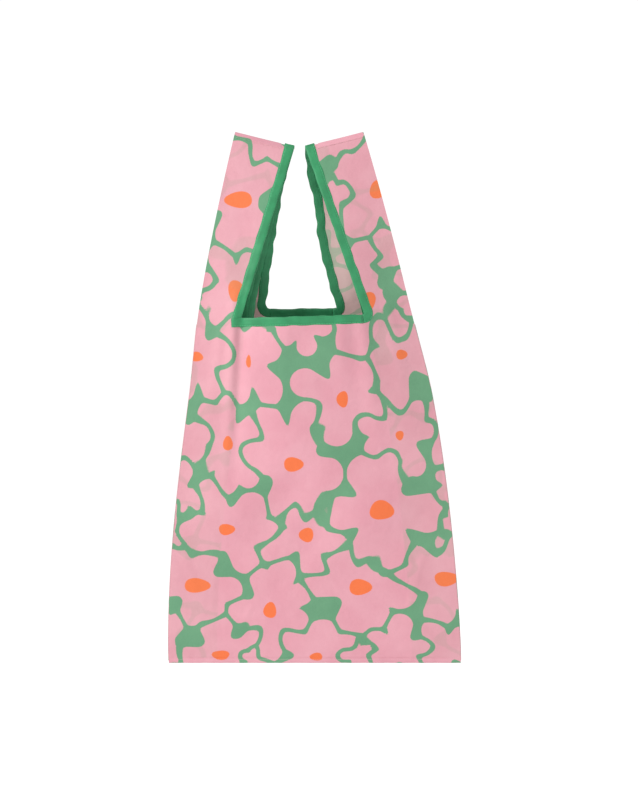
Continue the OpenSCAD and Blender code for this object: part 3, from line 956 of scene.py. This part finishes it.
def make_pouch_front():
    """The front wall is gathered into the seam along its sides and bottom."""
    rows = []
    for z in np.linspace(POUCH_TOP - POUCH_HEIGHT, POUCH_TOP - 1, 51):
        drop = z - POUCH_TOP + POUCH_HEIGHT
        half = rounded_width(drop, 14)
        a = np.linspace(-1, 1, 61)
        crown = (1 - np.abs(a) ** 5) ** 0.5 * math.sqrt(max(1 - max(1 - drop / 16, 0) ** 2, 0))
        x = POUCH_X + a * half
        gathers = 0.45 * np.sin(x / 2.1) * math.exp(-drop / 14) + 0.35 * np.sin(z / 2.3) * np.abs(a) ** 6
        rows.append(xyz(x, POUCH_BACK - 1.25 - 5.7 * crown + gathers * np.minimum(crown * 3, 1), z))
    grid = turned_to(np.array(rows), (0, -1, 0))
    seam = SEAM_ROW + (POUCH_TOP - 6 - grid[..., 2])
    pouch_sheet("pouch_front_cloth", grid, (0.12, 0.11), "pouch_front", "stow_pouch", seam)


def make_pouch_flap():
    """From the pouch's back edge over its top and down its front."""
    top = POUCH_TOP + 0.8
    path = [(POUCH_BACK, top - 0.2), (10.5, top), (8.5, top + 0.1), (6.5, top), (5, top - 0.2)]
    path += [(3.9, top - 0.8), (FLAP - 0.15, top - 1.8)]
    path += [(FLAP - 0.5, top - d) for d in np.linspace(4, FLAP_LENGTH - 1, 18)]
    rows = []
    for y, z in path[::-1]:
        low = max(z - (top - FLAP_LENGTH + 1), 0)
        inset = 10 - math.sqrt(max(100 - max(10 - low, 0) ** 2, 0))
        half = POUCH_WIDTH / 2 - inset
        x = POUCH_X + np.linspace(-half, half, 45)
        rows.append(xyz(x, np.full(x.shape, float(y)), z))
    grid = turned_to(np.array(rows), (0, -1, 0))
    seam = SEAM_ROW + (grid[..., 2] - (top - FLAP_LENGTH + 4))
    pouch_sheet("pouch_flap_cloth", grid, (0.105, 0.046), "pouch_flap", "pouch_flap", seam)


def make_pouch_hanger():
    """The short tape that the pouch hangs on."""
    low = POUCH_BACK + 0.8
    z_top = SPLIT - 1.0
    y_top = float(cloth_depth(BACK, np.float64(POUCH_X), np.float64(z_top))) - 1.9
    path = [(low, POUCH_TOP - 16), (low, POUCH_TOP - 10), (low, POUCH_TOP - 4), (low + 0.4, POUCH_TOP)]
    path += [(mix(low, y_top, t), mix(POUCH_TOP, z_top, t)) for t in (0.15, 0.4, 0.7, 0.92, 1.0)]
    rows, along = [], [0.0]
    for (y0, z0), (y1, z1) in zip(path, path[1:]):
        along.append(along[-1] + math.hypot(y1 - y0, z1 - z0))
    shares = np.array([-0.5, -0.46, -0.3, 0, 0.3, 0.46, 0.5])
    for y, z in path:
        rows.append(xyz(POUCH_X + shares * 16, np.full(shares.shape, y), z))
    grid = turned_to(np.array(rows), (0, -1, 0))
    across = (grid[..., 0] - POUCH_X + 8) * 0.7
    facts = {"across": across, "along": np.array(along)[:, None] + 0 * grid[..., 0]}
    thick = 0.5 * np.maximum(1 - np.abs(2 * shares) ** 8, 0.3)
    piece = layer_piece("pouch_hanger", grid, thick, facts, BINDING_TAPE, round_edges=True)
    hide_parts("pouch_tab")
    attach(piece, "stow_pouch")


def finish_snaps():
    """The snap keeps its CAD shape and gets a finish."""
    for name in ("snap_stud", "snap_socket", "snap_cap"):
        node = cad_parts[name]
        node.data.materials.clear()
        node.data.materials.append(SNAP_PLASTIC)


# ---- the room ----

FLOOR_DROP = 320
CAMERA_AIM = 0.024, 0.0, -0.3045
CAMERA_DISTANCE, CAMERA_LIFT = 2.7, 3.5
# The frame shows this many metres across at the aim.
SHOWN_WIDTH, SENSOR_WIDTH = 0.982, 36


def make_floor():
    bpy.ops.object.select_all(action="DESELECT")
    bpy.ops.mesh.primitive_plane_add(size=60, location=(0, 0, (BOTTOM - FLOOR_DROP) * METRE))
    floor = bpy.context.object
    floor.name = "floor"
    bpy.ops.object.transform_apply(location=True, rotation=True, scale=True)
    floor.data.materials.append(floor_finish())


def soft_lamp(name, place, aim, size, power):
    light = bpy.data.lights.new(name, "AREA")
    light.shape = "SQUARE"
    light.size = size
    light.energy = power
    lamp = bpy.data.objects.new(name, light)
    lamp.location = place
    lamp.rotation_euler = (Vector(aim) - Vector(place)).to_track_quat("-Z", "Y").to_euler()
    bpy.context.scene.collection.objects.link(lamp)


def light_the_room():
    world = bpy.data.worlds.new("studio")
    world.use_nodes = True
    sky = world.node_tree.nodes["Background"]
    sky.inputs["Color"].default_value = (1, 1, 1, 1)
    sky.inputs["Strength"].default_value = 1.05
    bpy.context.scene.world = world
    soft_lamp("key", (-2.4, -1.5, 0.9), (0, 0, -0.3), 0.8, 72)
    soft_lamp("fill", (1.4, -2.6, 0.4), (0, 0, -0.3), 1.6, 10)
    bpy.context.scene.view_settings.view_transform = "Standard"


def place_camera():
    lift = math.radians(CAMERA_LIFT)
    place = np.array(CAMERA_AIM) + CAMERA_DISTANCE * np.array([0, -math.cos(lift), math.sin(lift)])
    data = bpy.data.cameras.new("camera")
    data.sensor_width = SENSOR_WIDTH
    data.lens = SENSOR_WIDTH * CAMERA_DISTANCE / SHOWN_WIDTH
    camera = bpy.data.objects.new("camera", data)
    camera.location = place
    camera.rotation_euler = (math.pi / 2 - lift, 0, 0)
    bpy.context.scene.collection.objects.link(camera)
    bpy.context.scene.camera = camera


for face in (FRONT, BACK):
    make_mouth_tape(face)
    make_panel(face)
for side in (LEFT, RIGHT):
    make_handle_seam(side)
    make_gusset(side)
    make_gusset_tape(side)
    for face in (FRONT, BACK):
        make_strap(side, face)
        make_strap_tape(side, face)
        make_lining(side, face)
        make_lining_tape(side, face)
make_bottom_seam()
make_pouch_hanger()
make_pouch_back()
make_pouch_front()
make_pouch_flap()
finish_snaps()
make_floor()
light_the_room()
place_camera()
